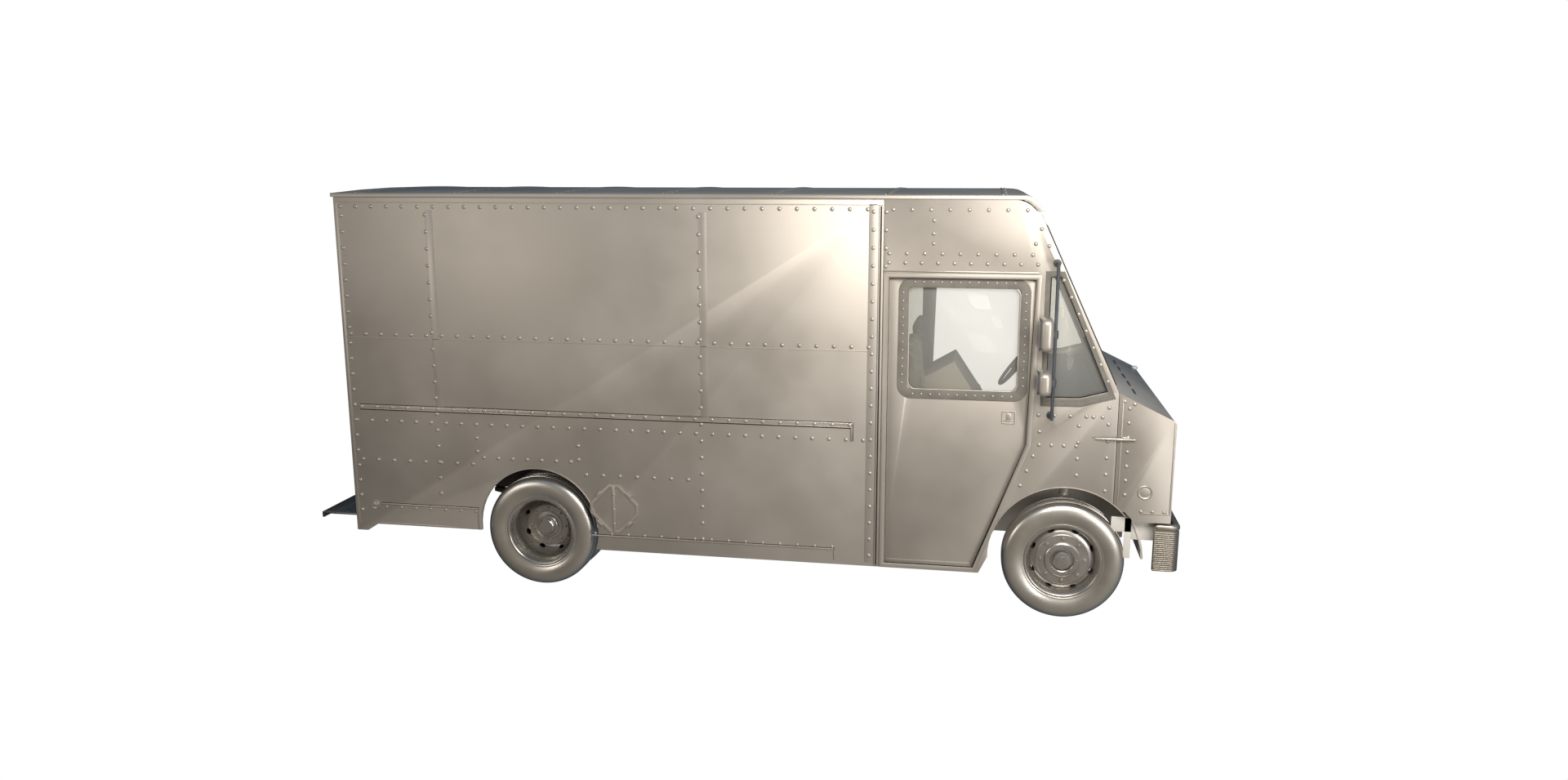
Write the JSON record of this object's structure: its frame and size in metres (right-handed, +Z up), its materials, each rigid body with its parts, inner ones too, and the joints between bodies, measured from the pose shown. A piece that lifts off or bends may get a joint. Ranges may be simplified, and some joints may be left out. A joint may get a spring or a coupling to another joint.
{
  "type": "mail delivery truck",
  "caption": "Riveted step van with sliding cab doors, hinged rear doors, tilting nose, dual rear wheels and linked steering.",
  "frame": {"origin": "on the ground under the middle of the vehicle's outline", "axes": "+X forward, +Y to the vehicle's left, +Z up"},
  "size_m": [6.3, 2.606, 2.9219],
  "materials": {
    "body_skin": "satin",
    "bumper_metal": "satin",
    "chassis_paint": "semi-gloss",
    "floor_plate": "satin",
    "cab_lining": "satin",
    "trim_metal": "satin",
    "glass": "clear",
    "lamp_lens": "clear",
    "dark_plastic": "matte",
    "seat_vinyl": "satin",
    "wheel_metal": "satin",
    "tyre": "satin"
  },
  "bodies": {
    "chassis": {"ladder_frame": "chassis_paint", "front_bumper": "bumper_metal", "rear_step": "floor_plate", "fuel_tank": "chassis_paint", "engine": "chassis_paint", "front_axle_beam": "chassis_paint", "rear_axle_housing": "chassis_paint", "body_floor": "floor_plate", "roof": "body_skin", "rear_portal": "body_skin", "cab_bulkhead": "cab_lining", "cab_front_frame": "body_skin", "windshield_glass": "glass", "dashboard": "dark_plastic", "engine_cover": "floor_plate", "driver_seat_base": "floor_plate", "passenger_seat_cushion": "seat_vinyl", "passenger_seat_back": "seat_vinyl", "side_panel_right": "body_skin", "side_panel_left": "body_skin", "cab_side_right": "body_skin", "cab_side_left": "body_skin", "quarter_window_right": "glass", "quarter_window_left": "glass", "mirror_arm_right": "trim_metal", "mirror_arm_left": "trim_metal"},
    "driveshaft": {"driveshaft": "chassis_paint"},
    "tie_rod": {"tie_rod": "chassis_paint"},
    "steering_wheel": {"steering_wheel": "dark_plastic"},
    "brake_pedal": {"brake_pedal": "chassis_paint"},
    "driver_seat": {"driver_seat_cushion": "seat_vinyl", "driver_seat_back": "seat_vinyl"},
    "nose": {"nose": "body_skin", "grille": "trim_metal", "headlamp_right": "lamp_lens", "headlamp_left": "lamp_lens"},
    "right_knuckle": {"knuckle_right": "chassis_paint"},
    "front_right_wheel": {"front_wheel_right": "wheel_metal", "front_tyre_right": "tyre"},
    "rear_right_wheel": {"rear_wheel_right": "wheel_metal", "rear_tyre_outer_right": "tyre", "rear_tyre_inner_right": "tyre"},
    "right_cab_door": {"cab_door_right": "body_skin", "door_glass_right": "glass"},
    "right_rear_door": {"rear_door_right": "body_skin"},
    "right_upper_mirror": {"mirror_upper_right": "trim_metal"},
    "right_lower_mirror": {"mirror_lower_right": "trim_metal"},
    "right_wiper": {"wiper_right": "dark_plastic"},
    "left_knuckle": {"knuckle_left": "chassis_paint"},
    "front_left_wheel": {"front_wheel_left": "wheel_metal", "front_tyre_left": "tyre"},
    "rear_left_wheel": {"rear_wheel_left": "wheel_metal", "rear_tyre_outer_left": "tyre", "rear_tyre_inner_left": "tyre"},
    "left_cab_door": {"cab_door_left": "body_skin", "door_glass_left": "glass"},
    "left_rear_door": {"rear_door_left": "body_skin"},
    "left_upper_mirror": {"mirror_upper_left": "trim_metal"},
    "left_lower_mirror": {"mirror_lower_left": "trim_metal"},
    "left_wiper": {"wiper_left": "dark_plastic"}
  },
  "joints": [
    {"name": "steer_left", "type": "hinge", "parent": "chassis", "child": "left_knuckle", "pos_m": [2.39, 0.77, 0.415], "axis": [0, 0, 1], "range_deg": [-32, 32]},
    {"name": "steer_right", "type": "hinge", "parent": "chassis", "child": "right_knuckle", "pos_m": [2.39, -0.77, 0.415], "axis": [0, 0, 1], "range_deg": [-32, 32]},
    {"name": "tie_rod_swing", "type": "hinge", "parent": "left_knuckle", "child": "tie_rod", "pos_m": [2.19, 0.77, 0.355], "axis": [0, 0, 1], "range_deg": [-32, 32]},
    {"name": "steering_wheel_turn", "type": "hinge", "parent": "chassis", "child": "steering_wheel", "pos_m": [2.075, 0.5, 1.529], "axis": [-0.78, 0, 0.6258], "range_deg": [-512, 512]},
    {"name": "front_wheel_left_spin", "type": "hinge", "parent": "left_knuckle", "child": "front_left_wheel", "pos_m": [2.39, 0.93, 0.415], "axis": [0, 1, 0], "continuous": true},
    {"name": "rear_wheel_left_spin", "type": "hinge", "parent": "chassis", "child": "rear_left_wheel", "pos_m": [-1.395, 0.8, 0.415], "axis": [0, 1, 0], "continuous": true},
    {"name": "front_wheel_right_spin", "type": "hinge", "parent": "right_knuckle", "child": "front_right_wheel", "pos_m": [2.39, -0.93, 0.415], "axis": [0, 1, 0], "continuous": true},
    {"name": "rear_wheel_right_spin", "type": "hinge", "parent": "chassis", "child": "rear_right_wheel", "pos_m": [-1.395, -0.8, 0.415], "axis": [0, 1, 0], "continuous": true},
    {"name": "driveshaft_spin", "type": "hinge", "parent": "chassis", "child": "driveshaft", "pos_m": [0, 0, 0.465], "axis": [1, 0, 0], "continuous": true},
    {"name": "cab_door_right_slide", "type": "slide", "parent": "chassis", "child": "right_cab_door", "axis": [-1, 0, 0], "range_m": [0, 0.745]},
    {"name": "cab_door_left_slide", "type": "slide", "parent": "chassis", "child": "left_cab_door", "axis": [1, 0, 0], "range_m": [0, 0.745]},
    {"name": "rear_door_right_swing", "type": "hinge", "parent": "chassis", "child": "right_rear_door", "pos_m": [-2.866, -0.79, 1.695], "axis": [0, 0, 1], "range_deg": [0, 110]},
    {"name": "rear_door_left_swing", "type": "hinge", "parent": "chassis", "child": "left_rear_door", "pos_m": [-2.866, 0.79, 1.695], "axis": [0, 0, -1], "range_deg": [0, 110]},
    {"name": "nose_tilt", "type": "hinge", "parent": "chassis", "child": "nose", "pos_m": [3.06, 0, 0.763], "axis": [0, 1, 0], "range_deg": [0, 65]},
    {"name": "mirror_upper_right_turn", "type": "hinge", "parent": "chassis", "child": "right_upper_mirror", "pos_m": [2.262, -1.215, 2.013], "axis": [0, 0, 1], "range_deg": [-25, 25]},
    {"name": "mirror_lower_right_turn", "type": "hinge", "parent": "chassis", "child": "right_lower_mirror", "pos_m": [2.262, -1.215, 1.694], "axis": [0, 0, 1], "range_deg": [-25, 25]},
    {"name": "mirror_upper_left_turn", "type": "hinge", "parent": "chassis", "child": "left_upper_mirror", "pos_m": [2.262, 1.215, 2.013], "axis": [0, 0, 1], "range_deg": [-25, 25]},
    {"name": "mirror_lower_left_turn", "type": "hinge", "parent": "chassis", "child": "left_lower_mirror", "pos_m": [2.262, 1.215, 1.694], "axis": [0, 0, 1], "range_deg": [-25, 25]},
    {"name": "wiper_left_sweep", "type": "hinge", "parent": "chassis", "child": "left_wiper", "pos_m": [2.6781, 0.03, 1.6563], "axis": [0.9047, 0, 0.4261], "range_deg": [0, 85]},
    {"name": "wiper_right_sweep", "type": "hinge", "parent": "chassis", "child": "right_wiper", "pos_m": [2.6781, -0.6, 1.6563], "axis": [0.9047, 0, 0.4261], "range_deg": [0, 85]},
    {"name": "brake_pedal_press", "type": "hinge", "parent": "chassis", "child": "brake_pedal", "pos_m": [2.42, 0.42, 1.26], "axis": [0, -1, 0], "range_deg": [0, 16], "stiffness_Nm_per_rad": 40, "springref_deg": -8.59},
    {"name": "driver_seat_slide", "type": "slide", "parent": "chassis", "child": "driver_seat", "axis": [1, 0, 0], "range_m": [-0.06, 0.12]}
  ],
  "couplings": [
    {"joint": "steer_right", "follows": "steer_left", "ratio": 1},
    {"joint": "tie_rod_swing", "follows": "steer_left", "ratio": -1},
    {"joint": "steering_wheel_turn", "follows": "steer_left", "ratio": 16},
    {"joint": "rear_wheel_right_spin", "follows": "rear_wheel_left_spin", "ratio": 1},
    {"joint": "driveshaft_spin", "follows": "rear_wheel_left_spin", "ratio": -4.1},
    {"joint": "wiper_right_sweep", "follows": "wiper_left_sweep", "ratio": 1}
  ]
}
